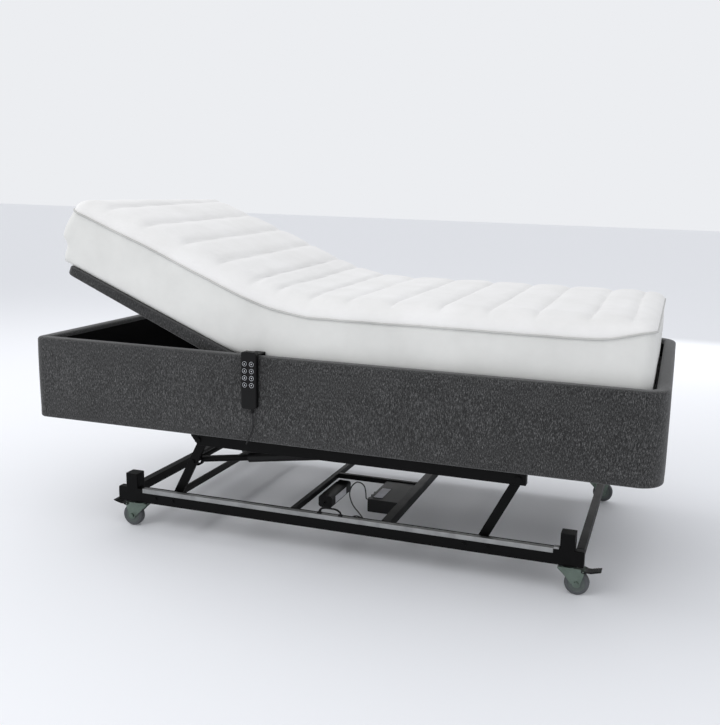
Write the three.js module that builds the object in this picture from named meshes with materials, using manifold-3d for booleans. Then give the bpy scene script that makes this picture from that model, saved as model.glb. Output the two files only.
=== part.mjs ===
// Adjustable hi-lo bed base with a mattress. Millimetres, +Z up, -X the head end, -Y the handset side.
import * as THREE from 'three';
import { mergeVertices } from 'three/addons/utils/BufferGeometryUtils.js';
import Module from 'manifold-3d';

const wasm = await Module();
wasm.setup();

// Driving dimensions
const GAP = 0.3;                       // between pieces that touch
const SURROUND = { length: 2090, width: 1020, low: 375, high: 655, wall: 42, headRadius: 32, footRadius: 76 };
const INNER = { x: SURROUND.length / 2 - SURROUND.wall, y: SURROUND.width / 2 - SURROUND.wall };

const DECK = { top: 595, thick: 45, half: 461, headHinge: -198, thighHinge: 55, knee: 409.5, foot: 998 };
const HINGE_Z = DECK.top - 8;          // backrest and thigh hinges lie just under the deck's face
const KNEE_Z = DECK.top - DECK.thick + 3;
const BACK_LENGTH = 798;
const BACK_ANGLE = THREE.MathUtils.degToRad(22.5);

const MATTRESS = { low: 597, high: 845, half: 460, backEnd: 843, foot: 992.5, corner: 60 };

const RAIL = { head: -767, foot: 838, outer: 452, thick: 30, low: 89, high: 139 };
const POST = { head: -715, foot: 787, size: 45, high: 190 };
const CASTOR = { head: -690, foot: 792, y: 437, wheel: 37.5, tread: 24, trail: 28 };

const ARM = { headX: -562.5, footX: 518, low: 122, dx: 111, dz: 219, width: 30, outer: 408, inner: 396 };
const MID_SHAFT = { along: 139.4, radius: 9 };
const LIFT_RAIL = { head: -478, foot: 652, low: 322, high: 372, outer: 452, inner: 422 };
const DECK_CROSS = { low: 372.3, high: 402.3, head: -420, mid: 95, foot: 560, width: 30 };

const LIFT_DRIVE = { y: -372, anchor: [80, 332], eyeInner: 15.5, eyeOuter: 22 };
const LEVER = { reach: 90, pin: 5, slot: 12, eye: 19, web: 50 };
const BACK_DRIVE = { y: 60, z: 503.4, tubeFront: -86, tubeRear: 95 };
const LEG_DRIVE = { y: -60, z: 498.5, tubeFront: 140, tubeRear: 560 };

const HANDSET = { x: -223, width: 54, low: 489, high: 672, thick: 22, stand: 0.5 };
const BUTTON = { radius: 8, rows: [634, 611.5, 589, 566.5], columns: [-12, 12], proud: 1.6, deep: 4 };
const SIDE_SHIFT = (HANDSET.thick + HANDSET.stand + BUTTON.proud) / 2;   // keeps the whole part centred across

// Materials
function finish(color, roughness, metalness) {
  return new THREE.MeshStandardMaterial({ color, roughness, metalness });
}
const CHARCOAL = finish('#47474a', 0.95, 0);
const WHITE_KNIT = finish('#e6e5e2', 0.9, 0);
const BLACK_STEEL = finish('#141415', 0.45, 0.6);
const GREY_STRIP = finish('#a9aaa8', 0.5, 0.7);
const BLACK_PLASTIC = finish('#17171a', 0.5, 0);
const ZINC = finish('#7d8a80', 0.35, 0.9);
const CHROME = finish('#c4c6c8', 0.15, 1);
const GREY_RUBBER = finish('#67696b', 0.8, 0);
const KEY_GREY = finish('#5b5d60', 0.6, 0);
const CORD_BLACK = finish('#1b1b1d', 0.6, 0);

// Geometry helpers
const AXES = {
  x: [new THREE.Vector3(0, 1, 0), new THREE.Vector3(0, 0, 1), new THREE.Vector3(1, 0, 0)],
  y: [new THREE.Vector3(0, 0, 1), new THREE.Vector3(1, 0, 0), new THREE.Vector3(0, 1, 0)],
  z: [new THREE.Vector3(1, 0, 0), new THREE.Vector3(0, 1, 0), new THREE.Vector3(0, 0, 1)],
};

function solid(geometry) {
  const plain = geometry.clone();
  plain.deleteAttribute('normal');
  plain.deleteAttribute('uv');
  const merged = mergeVertices(plain, 1e-4);
  return new wasm.Manifold(new wasm.Mesh({
    numProp: 3,
    vertProperties: new Float32Array(merged.attributes.position.array),
    triVerts: new Uint32Array(merged.index.array),
  }));
}

function geometryOf(manifold) {
  const mesh = manifold.getMesh();
  const geometry = new THREE.BufferGeometry();
  geometry.setAttribute('position', new THREE.BufferAttribute(new Float32Array(mesh.vertProperties), 3));
  geometry.setIndex(new THREE.BufferAttribute(new Uint32Array(mesh.triVerts), 1));
  return geometry;
}

function join(...parts) {
  return parts.reduce((whole, part) => whole.add(part));
}

function extrude(shape, depth, curveSegments = 2) {
  return new THREE.ExtrudeGeometry(shape, { depth, bevelEnabled: false, curveSegments });
}

// A shape drawn across an axis and pushed along it from one place to another
function along(axis, shape, from, to, curveSegments) {
  const geometry = extrude(shape, to - from, curveSegments);
  geometry.applyMatrix4(new THREE.Matrix4().makeBasis(...AXES[axis]));
  geometry.translate(...AXES[axis][2].clone().multiplyScalar(from).toArray());
  return solid(geometry);
}

function roundedRect(a, b, radius) {
  const shape = new THREE.Shape();
  const quarter = Math.PI / 2;
  shape.absarc(a[1] - radius, b[0] + radius, radius, -quarter, 0);
  shape.absarc(a[1] - radius, b[1] - radius, radius, 0, quarter);
  shape.absarc(a[0] + radius, b[1] - radius, radius, quarter, 2 * quarter);
  shape.absarc(a[0] + radius, b[0] + radius, radius, 2 * quarter, 3 * quarter);
  shape.closePath();
  return shape;
}

function circle(a, b, radius) {
  return new THREE.Shape().absarc(a, b, radius, 0, 2 * Math.PI);
}

// Rounded bars: the two spans are across the axis, in the order y z, z x or x y
function barX(x, y, z, radius = 4) {
  return along('x', roundedRect(y, z, radius), x[0], x[1], radius > 5 ? 2 : 1);
}

function barY(x, y, z, radius = 4) {
  return along('y', roundedRect(z, x, radius), y[0], y[1], radius > 5 ? 2 : 1);
}

function barZ(x, y, z, radius = 4) {
  return along('z', roundedRect(x, y, radius), z[0], z[1], radius > 5 ? 2 : 1);
}

function rodX(y, z, radius, x, sides = 16) {
  return along('x', circle(y, z, radius), x[0], x[1], sides / 2);
}

function rodY(x, z, radius, y, sides = 16) {
  return along('y', circle(z, x, radius), y[0], y[1], sides / 2);
}

function rodZ(x, y, radius, z, sides = 16) {
  return along('z', circle(x, y, radius), z[0], z[1], sides / 2);
}

function span(centre, size) {
  return [centre - size / 2, centre + size / 2];
}

// An outline in x and z, with a thickness across
function sidePlate(points, y) {
  const shape = new THREE.Shape(points.map(([x, z]) => new THREE.Vector2(x, z)));
  const geometry = extrude(shape, y[1] - y[0]);
  geometry.rotateX(Math.PI / 2);
  geometry.translate(0, y[1], 0);
  return solid(geometry);
}

// A straight strap between two points in x and z, with round ends
function strap(from, to, width, y) {
  const length = Math.hypot(to[0] - from[0], to[1] - from[1]);
  const angle = Math.atan2(to[1] - from[1], to[0] - from[0]);
  const radius = width / 2;
  const shape = new THREE.Shape();
  shape.absarc(length, 0, radius, -Math.PI / 2, Math.PI / 2);
  shape.absarc(0, 0, radius, Math.PI / 2, 1.5 * Math.PI);
  shape.closePath();
  const geometry = extrude(shape, y[1] - y[0], 6);
  geometry.rotateZ(angle);
  geometry.rotateX(Math.PI / 2);
  geometry.translate(from[0], y[1], from[1]);
  return solid(geometry);
}

function mirrorY(manifold) {
  return manifold.mirror([0, 1, 0]);
}

const bed = new THREE.Group();

function add(name, shape, material, parent = bed) {
  const geometry = shape.isBufferGeometry ? shape : geometryOf(shape);
  const mesh = new THREE.Mesh(geometry, material);
  mesh.name = name;
  parent.add(mesh);
  return mesh;
}

// Base frame: two side weldments, two inner cross tubes, a trim strip, boxes and a hoop
function sideWeldment(crossX, crossWidth, crossEnd) {
  const inner = RAIL.outer - RAIL.thick;
  const rail = barX([RAIL.head, RAIL.foot], [-RAIL.outer, -inner], [RAIL.low, RAIL.high], 3);
  const posts = [POST.head, POST.foot].map((x) =>
    barZ(span(x, POST.size), [-RAIL.outer, -RAIL.outer + POST.size], [RAIL.low, POST.high], 3));
  const cross = barY(span(crossX, crossWidth), [-inner - 5, crossEnd - GAP], [RAIL.high - 32, RAIL.high], 3);
  const pins = [ARM.headX, ARM.footX].map((x) =>
    rodY(x, ARM.low, 8, [-inner - 5, -ARM.inner - 1.5]));
  const bolts = [-622, -555.5, 471.5, 544.5].map((x) =>
    rodY(x, 109.5, 7, [-RAIL.outer - 3.5, -RAIL.outer + 2], 10));
  return join(rail, ...posts, cross, ...pins, ...bolts);
}

function baseFrame() {
  add('base_side_near', sideWeldment(-726, 30, RAIL.outer - POST.size), BLACK_STEEL);
  add('base_side_far', mirrorY(sideWeldment(823.5, 25, RAIL.outer - RAIL.thick)), BLACK_STEEL);
  const inner = RAIL.outer - RAIL.thick - GAP;
  add('power_cross_tube', barY([-128, -110], [-inner, inner], [RAIL.high - 20, RAIL.high], 2), BLACK_STEEL);
  const control = barY([190, 221], [-inner, inner], [RAIL.high - 31, RAIL.high], 3);
  const beam = barX([-110 + GAP, 195], [-34, -16], [RAIL.high - 18, RAIL.high], 2);
  add('control_cross_tube', join(control, beam), BLACK_STEEL);
}

// The strip wraps the rail's upper outside edge, with shallow grooves where its lengths meet
function railStrip() {
  const face = -RAIL.outer - GAP;
  const top = RAIL.high + GAP;
  const x = [-671, 745];
  const leg = barX(x, [face - 2, face], [RAIL.high - 13, top + 2], 0.6);
  const lid = barX(x, [face - 2, face + 14], [top, top + 2], 0.6);
  const stop = barX([747, 762], [face - 2.5, face + 16], [top, top + 7], 1);
  const bridge = barX([744, 748], [face - 2, face + 14], [top, top + 1.5], 0.6);
  const grooves = [-239, 287, 511].map((at) =>
    barX(span(at, 1.2), [face - 4, face - 1.4], [RAIL.high - 20, top + 10], 0.4));
  return grooves.reduce((strip, groove) => strip.subtract(groove), join(leg, lid, stop, bridge));
}

function pullHoop() {
  const foot = RAIL.high + 2.9;
  const y = -RAIL.outer + 7;
  const path = new THREE.CatmullRomCurve3([
    new THREE.Vector3(-14, y, foot), new THREE.Vector3(-15, y, foot + 8),
    new THREE.Vector3(-4, y, foot + 18), new THREE.Vector3(22, y, foot + 20.5),
    new THREE.Vector3(48, y, foot + 18), new THREE.Vector3(60, y, foot + 8),
    new THREE.Vector3(59, y, foot),
  ]);
  const tube = new THREE.ExtrudeGeometry(circle(0, 0, 3.2), { steps: 16, extrudePath: path, curveSegments: 4 });
  const feet = [-14, 59].map((x) => barX(span(x, 15), span(y, 10), [foot, foot + 5], 1.5));
  return join(solid(tube), ...feet);
}

function electricBoxes() {
  const power = barY([-108, -57], [-228, -42], [77, 119], 9);
  const tab = barY([-104, -78], [-200, -70], [115, 119.4], 1);
  const inlet = rodY(-82, 98, 9, [-46, -37], 12);
  add('power_supply_box', join(power, tab, inlet), BLACK_PLASTIC);
  const control = barY([80, 190 - GAP], [-243, -42], [90, 136], 4);
  const label = barY([92, 128], [-225, -120], [134, 137.2], 1);
  const sockets = [-215, -185, -155].map((y) => rodX(y, 124, 8, [74, 82], 10));
  add('control_box', join(control, label, ...sockets), BLACK_PLASTIC);
}

// Castors: swivel fork, wheel and brake pedal, built once and placed at the four corners
function castorFork() {
  const plateTop = RAIL.low - GAP;
  const axle = [CASTOR.trail, CASTOR.wheel];
  const outline = new THREE.Shape();
  outline.moveTo(-31, plateTop - 4);
  outline.lineTo(-31, plateTop - 9);
  outline.lineTo(-12, 62);
  outline.lineTo(axle[0] - 15, axle[1] - 2);
  outline.absarc(axle[0], axle[1], 13, Math.PI, 2 * Math.PI + 0.25);
  outline.lineTo(50, 72);
  outline.lineTo(50, plateTop - 4);
  outline.closePath();
  const cheek = extrude(outline, 2.4, 4);
  cheek.rotateX(Math.PI / 2);
  const near = cheek.clone().translate(0, -13.6, 0);
  const far = cheek.clone().translate(0, 16, 0);
  const crown = barX([-31, 50], [-16, 16], [plateTop - 6.5, plateTop - 3.5], 1);
  const race = rodZ(0, 0, 25, [plateTop - 4, plateTop], 16);
  const pin = rodY(axle[0], axle[1], 5, [-19.5, 19.5], 12);
  const heads = [[-20.5, -16], [16, 20.5]].map((y) => rodY(axle[0], axle[1], 8, y, 6));
  const brakePin = rodY(46, 79, 2.5, [-19, 19], 8);
  return join(solid(near), solid(far), crown, race, pin, ...heads, brakePin);
}

function castorWheel() {
  const r = CASTOR.wheel;
  const half = CASTOR.tread / 2;
  const points = [
    [5.4, -11.5], [13, -11.5], [15, -8], [26, -8], [31, -half], [r - 1, -half + 3], [r, 0],
    [r - 1, half - 3], [31, half], [26, 8], [15, 8], [13, 11.5], [5.4, 11.5], [5.4, -11.5],
  ];
  return new THREE.LatheGeometry(points.map(([radius, y]) => new THREE.Vector2(radius, y)), 22);
}

function castorPedal() {
  const plate = sidePlate([[51.5, 82], [51.5, 78], [56, 76.5], [70, 76.5], [98, 84], [99, 87], [70, 80], [57, 80]],
    [-17, 17]);
  const ribs = [76, 82, 88].map((x) => rodY(x, 77.5 + (x - 64) * 0.27, 2.4, [-15, 15], 8));
  const ears = [[-19.4, -16.4], [16.4, 19.4]].map((y) =>
    sidePlate([[40, 85.2], [40, 76], [52, 74], [58, 78], [58, 80.5]], y));
  const bridge = [[-19.4, -15], [15, 19.4]].map((y) => sidePlate([[53, 77.5], [58, 77], [58, 80], [53, 81.5]], y));
  const bore = rodY(46, 79, 2.9, [-30, 30], 10);
  return join(plate, ...ribs, ...ears, ...bridge).subtract(bore);
}

function castors() {
  const fork = geometryOf(castorFork());
  const wheel = castorWheel();
  const pedal = geometryOf(castorPedal());
  const corners = [
    ['head_near', CASTOR.head, -CASTOR.y, Math.PI], ['head_far', CASTOR.head, CASTOR.y, Math.PI],
    ['foot_near', CASTOR.foot, -CASTOR.y, 0], ['foot_far', CASTOR.foot, CASTOR.y, 0],
  ];
  for (const [corner, x, y, turn] of corners) {
    const castor = new THREE.Group();
    castor.position.set(x, y, 0);
    castor.rotation.z = turn;
    add(`castor_fork_${corner}`, fork, ZINC, castor);
    const tyre = add(`castor_wheel_${corner}`, wheel, GREY_RUBBER, castor);
    tyre.position.set(CASTOR.trail, 0, CASTOR.wheel);
    add(`castor_pedal_${corner}`, pedal, BLACK_PLASTIC, castor);
    bed.add(castor);
  }
}

// Lift arms: a flat arm on each side; the near ones carry a pivot tube, and at the head also a cross shaft
function liftArm(x) {
  const y = [-ARM.outer, -ARM.inner];
  const top = [x + ARM.dx, ARM.low + ARM.dz];
  const arm = strap([x, ARM.low], top, ARM.width, y);
  const bores = [[x, ARM.low], top].map(([at, z]) => rodY(at, z, 8.5, [-ARM.outer - 5, -ARM.inner + 5]));
  return bores.reduce((part, bore) => part.subtract(bore), arm);
}

function midShaftCentre() {
  const part = MID_SHAFT.along / Math.hypot(ARM.dx, ARM.dz);
  return [ARM.headX + ARM.dx * part, ARM.low + ARM.dz * part];
}

function liftArms() {
  const inner = ARM.inner - GAP;
  const pivotTube = (x) => rodY(x, ARM.low, 12.5, [-ARM.inner, inner]);
  const [midX, midZ] = midShaftCentre();
  const midShaft = rodY(midX, midZ, MID_SHAFT.radius, [-ARM.inner, inner]);
  const midBolt = rodY(midX, midZ, 9, [-ARM.outer - 5, -ARM.outer + 1], 6);
  add('head_arm_near', join(liftArm(ARM.headX), pivotTube(ARM.headX), midShaft, midBolt), BLACK_STEEL);
  add('head_arm_far', mirrorY(liftArm(ARM.headX)), BLACK_STEEL);
  add('foot_arm_near', join(liftArm(ARM.footX), pivotTube(ARM.footX)), BLACK_STEEL);
  add('foot_arm_far', mirrorY(liftArm(ARM.footX)), BLACK_STEEL);
}

// Lift frame: a rail on each side with its pivot pins, and three cross tubes that carry the deck and surround
function liftRail() {
  const y = [-LIFT_RAIL.outer, -LIFT_RAIL.inner];
  const rail = barX([LIFT_RAIL.head, LIFT_RAIL.foot], y, [LIFT_RAIL.low, LIFT_RAIL.high], 3);
  const corner = sidePlate([
    [LIFT_RAIL.head - 1, LIFT_RAIL.low - 1], [LIFT_RAIL.head + 27, LIFT_RAIL.low - 1],
    [LIFT_RAIL.head - 1, LIFT_RAIL.low + 33]], [y[0] - 1, y[1] + 1]);
  const pins = [ARM.headX, ARM.footX].flatMap((x) => {
    const z = ARM.low + ARM.dz;
    const at = x + ARM.dx;
    const pin = rodY(at, z, 7.5, [-LIFT_RAIL.inner - 2, -ARM.inner - 1.5]);
    return [pin, rodY(at, z, 11, [-LIFT_RAIL.outer - 5, -LIFT_RAIL.outer + 1], 6)];
  });
  return join(rail.subtract(corner), ...pins);
}

function liftFrame() {
  add('lift_rail_near', liftRail(), BLACK_STEEL);
  add('lift_rail_far', mirrorY(liftRail()), BLACK_STEEL);
  const reach = INNER.y - GAP;
  const tube = (x) => barY(span(x, DECK_CROSS.width), [-reach, reach], [DECK_CROSS.low, DECK_CROSS.high], 3);
  add('deck_cross_head', tube(DECK_CROSS.head), BLACK_STEEL);

  const [anchorX, anchorZ] = LIFT_DRIVE.anchor;
  const liftLug = sidePlate([[62, 375], [110, 375], [108, 345], [92, 320], [68, 320], [62, 332]],
    span(LIFT_DRIVE.y, 12));
  const liftPin = rodY(anchorX, anchorZ, 6, span(LIFT_DRIVE.y, 32));
  const backPost = barZ([84, 106], span(BACK_DRIVE.y, 40), [DECK_CROSS.high - 2, BACK_DRIVE.z - 24], 2);
  const junction = barX([74, 116], [-400, -316], [DECK_CROSS.high - 2, DECK_CROSS.high + 34], 5);
  add('deck_cross_mid', join(tube(DECK_CROSS.mid), liftLug, liftPin, backPost, junction), BLACK_STEEL);

  const legPost = barZ([549, 571], span(LEG_DRIVE.y, 40), [DECK_CROSS.high - 2, LEG_DRIVE.z - 24], 2);
  add('deck_cross_foot', join(tube(DECK_CROSS.foot), legPost), BLACK_STEEL);

  const batten = barX([-INNER.x + 4, INNER.x - 36], [-reach, -reach + 30], [505, DECK.top - DECK.thick - GAP], 2);
  add('deck_batten_near', batten, BLACK_STEEL);
  add('deck_batten_far', mirrorY(batten), BLACK_STEEL);
}

// Lift drive: a telescopic strut from the middle cross tube down to the head arms' cross shaft
function liftDrive() {
  const [midX, midZ] = midShaftCentre();
  const [anchorX, anchorZ] = LIFT_DRIVE.anchor;
  const length = Math.hypot(midX - anchorX, midZ - anchorZ);
  const drive = new THREE.Group();
  drive.position.set(anchorX, LIFT_DRIVE.y, anchorZ);
  drive.rotation.y = -Math.atan2(anchorZ - midZ, anchorX - midX);

  const cheek = (y) => strap([0, 0], [-44, 0], 26, y).subtract(rodY(0, 0, 6.4, [-20, 20]));
  const tube = rodX(0, 0, 16.5, [-386, -34], 20).subtract(rodX(0, 0, 11.8, [-390, -56], 16));
  const gearbox = barX([-104, -46], [8, 40], [-4, 30], 5);
  const motor = rodY(-75, 13, 22, [38, 112], 20);
  add('lift_drive_tube', join(cheek([-15, -7.5]), cheek([7.5, 15]), tube, gearbox, motor), BLACK_STEEL, drive);

  const eye = rodY(-length, 0, LIFT_DRIVE.eyeOuter, [-8, 8], 24);
  const rod = rodX(0, 0, 11.2, [-length + 18, -180]);
  const bore = rodY(-length, 0, LIFT_DRIVE.eyeInner, [-20, 20], 20);
  add('lift_drive_rod', join(eye, rod).subtract(bore), BLACK_STEEL, drive);
  bed.add(drive);
}

// Deck drives: a motor tube fixed under the deck, and a rod that pushes or pulls a lever under a panel
function deckDrive(prefix, drive, pinX) {
  const front = drive.tubeFront;
  const rear = drive.tubeRear;
  const tube = rodX(drive.y, drive.z, 20, [front, rear + 14], 20)
    .subtract(rodX(drive.y, drive.z, 12.6, [front - 5, rear - 30]));
  const motorX = rear - 54;
  const outward = Math.sign(drive.y);
  const motor = barX(span(motorX, 74), span(drive.y + outward * 46, 66), span(drive.z - 8, 52), 12);
  const foot = barX(span(rear, 26), span(drive.y, 38), [drive.z - 24 + GAP, drive.z - 10], 2);
  add(`${prefix}_drive_tube`, join(tube, motor, foot), BLACK_PLASTIC);

  const shaft = [pinX + LEVER.web, front + 114];
  const rod = rodX(drive.y, drive.z, 12, shaft, 20);
  const fork = [-1, 1].map((hand) => {
    const y = span(drive.y + hand * 12.5, 9);
    return strap([pinX, drive.z], [pinX + LEVER.web - 8, drive.z], 2 * LEVER.eye, y);
  });
  const web = barX(span(pinX + LEVER.web, 14), span(drive.y, 34), span(drive.z, 30), 2);
  const slot = rodY(pinX, drive.z, LEVER.slot, span(drive.y, 60), 20);
  add(`${prefix}_drive_rod`, join(rod, ...fork, web).subtract(slot), CHROME);
}

function deckDrives() {
  const down = THREE.MathUtils.degToRad(7.5);
  deckDrive('backrest', BACK_DRIVE, DECK.headHinge + LEVER.reach * Math.sin(down));
  const lean = THREE.MathUtils.degToRad(15);
  deckDrive('leg', LEG_DRIVE, DECK.thighHinge - LEVER.reach * Math.sin(lean));
}

// Surround: four padded boards, cut from one ring with rounded upright corners
function surroundOutline(x, y, headRadius, footRadius) {
  const shape = new THREE.Shape();
  const quarter = Math.PI / 2;
  shape.absarc(x - footRadius, -y + footRadius, footRadius, -quarter, 0);
  shape.absarc(x - footRadius, y - footRadius, footRadius, 0, quarter);
  shape.absarc(-x + headRadius, y - headRadius, headRadius, quarter, 2 * quarter);
  shape.absarc(-x + headRadius, -y + headRadius, headRadius, 2 * quarter, 3 * quarter);
  shape.closePath();
  return shape;
}

function surround() {
  const half = [SURROUND.length / 2, SURROUND.width / 2];
  const { low, high, wall, headRadius, footRadius } = SURROUND;
  const outer = along('z', surroundOutline(...half, headRadius, footRadius), low, high, 5);
  const hollow = surroundOutline(INNER.x, INNER.y, 4, footRadius - wall);
  const ring = outer.subtract(along('z', hollow, low - 5, high + 5, 5));
  const block = (x, y) => barZ(x, y, [low - 10, high + 10], 0.1);
  const headCut = -half[0] + wall;
  const footCut = half[0] - footRadius;
  const side = block([headCut + GAP / 2, footCut - GAP / 2], [-half[1] - 10, -100]);
  add('surround_near', ring.intersect(side), CHARCOAL);
  add('surround_far', ring.intersect(mirrorY(side)), CHARCOAL);
  add('surround_head', ring.intersect(block([-half[0] - 10, headCut - GAP / 2], [-600, 600])), CHARCOAL);
  add('surround_foot', ring.intersect(block([footCut + GAP / 2, half[0] + 10], [-600, 600])), CHARCOAL);
}

// Deck panels, each drawn about its own hinge: x runs away from the hinge, z is height over it
function panel(x, low, high, leading = 14) {
  const shape = new THREE.Shape();
  shape.moveTo(x[0], low);
  if (leading > 0) {
    shape.lineTo(x[1] - leading, low);
    shape.absarc(x[1] - leading, low + leading, leading, -Math.PI / 2, 0);
  } else {
    shape.lineTo(x[1], low);
  }
  shape.lineTo(x[1], high);
  shape.lineTo(x[0], high);
  shape.closePath();
  const geometry = extrude(shape, 2 * DECK.half, 6);
  geometry.rotateX(Math.PI / 2);
  geometry.translate(0, DECK.half, 0);
  return solid(geometry);
}

function lever(drive, pinAt, root) {
  const [x, z] = pinAt;
  const plate = sidePlate([[root[0], -20], [root[1], -20], [root[1], -42], [x + 10, z + 4], [x + 4, z - 9],
    [x - 7, z - 8], [x - 10, z + 2], [root[0] - 4, -42]], span(drive.y, 12));
  const pin = rodY(pinAt[0], pinAt[1], LEVER.pin, span(drive.y, 34), 12);
  return join(plate, pin);
}

function deckSection(x, z, angle) {
  const section = new THREE.Group();
  section.position.set(x, 0, z);
  section.rotation.y = angle;
  bed.add(section);
  return section;
}

function sideSolid(points) {
  return sidePlate(points, [-MATTRESS.half, MATTRESS.half]);
}

function deck() {
  const top = DECK.top - HINGE_Z;
  const bottom = top - DECK.thick;
  const swing = THREE.MathUtils.degToRad(30);
  const reach = LEVER.reach;

  const back = deckSection(DECK.headHinge, HINGE_Z, BACK_ANGLE);
  const backPanel = panel([5, BACK_LENGTH], bottom, top, 24);
  const backLever = lever(BACK_DRIVE, [-reach * Math.sin(swing), -reach * Math.cos(swing)], [8, 46]);
  const mirrorX = (shape) => shape.mirror([1, 0, 0]);
  add('backrest_panel', mirrorX(join(backPanel, backLever)), CHARCOAL, back);

  const seat = barX([DECK.headHinge + 5, DECK.thighHinge - 3], [-DECK.half, DECK.half],
    [DECK.top - DECK.thick, DECK.top], 2);
  add('seat_panel', seat, CHARCOAL);

  const thigh = deckSection(DECK.thighHinge, HINGE_Z, 0);
  const lean = THREE.MathUtils.degToRad(15);
  const kneeX = DECK.knee - DECK.thighHinge;
  const thighPanel = panel([3, kneeX - 2], bottom, top, 0);
  const thighLever = lever(LEG_DRIVE, [-reach * Math.sin(lean), -reach * Math.cos(lean)], [6, 44]);
  add('thigh_panel', join(thighPanel, thighLever), CHARCOAL, thigh);

  const calf = deckSection(DECK.knee, KNEE_Z, 0);
  const calfEnd = DECK.foot - DECK.knee;
  const cornered = barZ([-100, calfEnd], [-DECK.half, DECK.half], [-50, 200], 38);
  add('calf_panel', panel([2, calfEnd], -3, DECK.thick - 3).intersect(cornered), CHARCOAL, calf);

  mattress(back, thigh, calf);
}

// Mattress: one soft block over each deck section, notched where the deck folds upwards
function mattress(back, thigh, calf) {
  const low = MATTRESS.low - HINGE_Z;
  const high = MATTRESS.high - HINGE_Z;
  const backSlope = Math.tan(Math.PI / 6);
  const thighSlope = Math.tan(Math.PI / 12);
  const clear = 45;
  const corner = (x) => barZ(x, [-MATTRESS.half, MATTRESS.half], [-100, 400], MATTRESS.corner);

  const end = -MATTRESS.backEnd;
  const backBlock = sideSolid([
    [end, low], [-clear - low * backSlope, low], [-clear - high * backSlope, high], [end, high]]);
  add('mattress_back', backBlock.intersect(corner([end, 100])), WHITE_KNIT, back);

  const seatHead = DECK.headHinge + 2;
  const seatFoot = DECK.thighHinge - 2;
  add('mattress_seat', sideSolid([
    [seatHead + low * backSlope, MATTRESS.low], [seatFoot - low * thighSlope, MATTRESS.low],
    [seatFoot - high * thighSlope, MATTRESS.high], [seatHead + high * backSlope, MATTRESS.high]]), WHITE_KNIT);

  const knee = DECK.knee - DECK.thighHinge;
  add('mattress_thigh', sideSolid([
    [2 + low * thighSlope, low], [knee - 1.5, low], [knee - 1.5, high], [2 + high * thighSlope, high]]),
  WHITE_KNIT, thigh);

  const foot = MATTRESS.foot - DECK.knee;
  const calfBlock = sideSolid([
    [1.5, MATTRESS.low - KNEE_Z], [foot, MATTRESS.low - KNEE_Z],
    [foot, MATTRESS.high - KNEE_Z], [1.5, MATTRESS.high - KNEE_Z]]);
  add('mattress_calf', calfBlock.intersect(corner([-200, foot])), WHITE_KNIT, calf);
}

// Handset, hung on the surround's top edge by a flat hook, with eight round keys
function handset() {
  const { x, width, low, high, thick, stand } = HANDSET;
  const back = -SURROUND.width / 2 - stand;
  const front = back - thick;
  const body = barZ(span(x, width), [front, back], [low + 8, high], 6);
  const chin = along('y', roundedRect([low, high], span(x, width), 12), front, back, 5);
  const shell = barZ(span(x, width), [front, back], [low, high], 6);
  const top = SURROUND.high + GAP;
  const hook = barX(span(x + 10, 34), [back - 4, back + SURROUND.wall + stand + 3.5], [top + 5, top + 9], 1);
  const tongue = barX(span(x + 10, 34), [back + SURROUND.wall + stand + GAP, back + SURROUND.wall + stand + 3.5],
    [top - 40, top + 8], 1);
  const relief = rodZ(x + 8, (front + back) / 2, 5, [low - 15, low + 3], 12);
  const wells = [];
  for (const z of BUTTON.rows) {
    for (const dx of BUTTON.columns) {
      wells.push(rodY(x + dx, z, BUTTON.radius + 0.4, [front - 1, front + BUTTON.deep + 1.5]));
    }
  }
  const blank = join(shell.intersect(chin), body.intersect(chin), hook, tongue, relief);
  add('handset_body', wells.reduce((part, well) => part.subtract(well), blank), BLACK_PLASTIC);
  BUTTON.rows.forEach((z, row) => {
    BUTTON.columns.forEach((dx, column) => {
      const key = rodY(x + dx, z, BUTTON.radius, [front - BUTTON.proud, front + BUTTON.deep]);
      add(`handset_key_${row + 1}${column ? 'b' : 'a'}`, key, KEY_GREY);
    });
  });
}

// Cords: plain tubes along hand-chosen routes
const HANDSET_CORD = [
  [-215, -521.5, 473.4], [-214.5, -521.5, 462], [-213, -521.5, 440], [-217, -521.5, 415], [-227, -521, 392],
  [-237, -516, 374], [-246, -503, 365.5], [-254, -484, 362.5], [-259, -467.5, 364], [-262, -460.3, 371],
  [-267, -455, 379], [-278, -449, 378.2], [-296, -447, 375.4], [-330, -447, 375], [-368, -447, 375],
  [-383, -444, 375], [-389, -437, 375], [-383, -430, 375], [-368, -427, 375], [-330, -427, 375],
  [-220, -427, 375], [-110, -427, 375], [0, -427, 375], [26, -424, 376.5], [42, -413, 384],
  [50, -396, 400], [54, -376, 413], [61, -362, 418], [73.3, -358, 418],
];
const POWER_CORD = [
  [73, -215, 124], [66, -215, 125], [60, -206, 142], [50, -193, 160], [36, -186, 168], [19, -184, 169],
  [7, -196, 160], [11, -235, 145], [42, -290, 128], [86, -345, 121.6], [116, -384, 119], [128, -404, 123],
  [121, -413, 133], [103, -414, 137.5], [80, -408, 126], [52, -397, 102], [24, -392, 84], [-10, -380, 74],
  [-48, -346, 70], [-74, -300, 71], [-84, -262, 80], [-84, -241, 94], [-83, -230, 97],
];

function cord(name, points, radius, steps) {
  const path = new THREE.CatmullRomCurve3(points.map((point) => new THREE.Vector3(...point)), false, 'centripetal');
  add(name, new THREE.ExtrudeGeometry(circle(0, 0, radius), { steps, extrudePath: path, curveSegments: 4 }),
    CORD_BLACK);
}

baseFrame();
add('rail_strip', railStrip(), GREY_STRIP);
add('pull_hoop', pullHoop(), BLACK_PLASTIC);
electricBoxes();
castors();
liftArms();
liftFrame();
liftDrive();
deckDrives();
surround();
deck();
handset();
cord('handset_cord', HANDSET_CORD, 2.5, 80);
cord('power_cord', POWER_CORD, 2.2, 72);
bed.position.y = SIDE_SHIFT;

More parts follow.
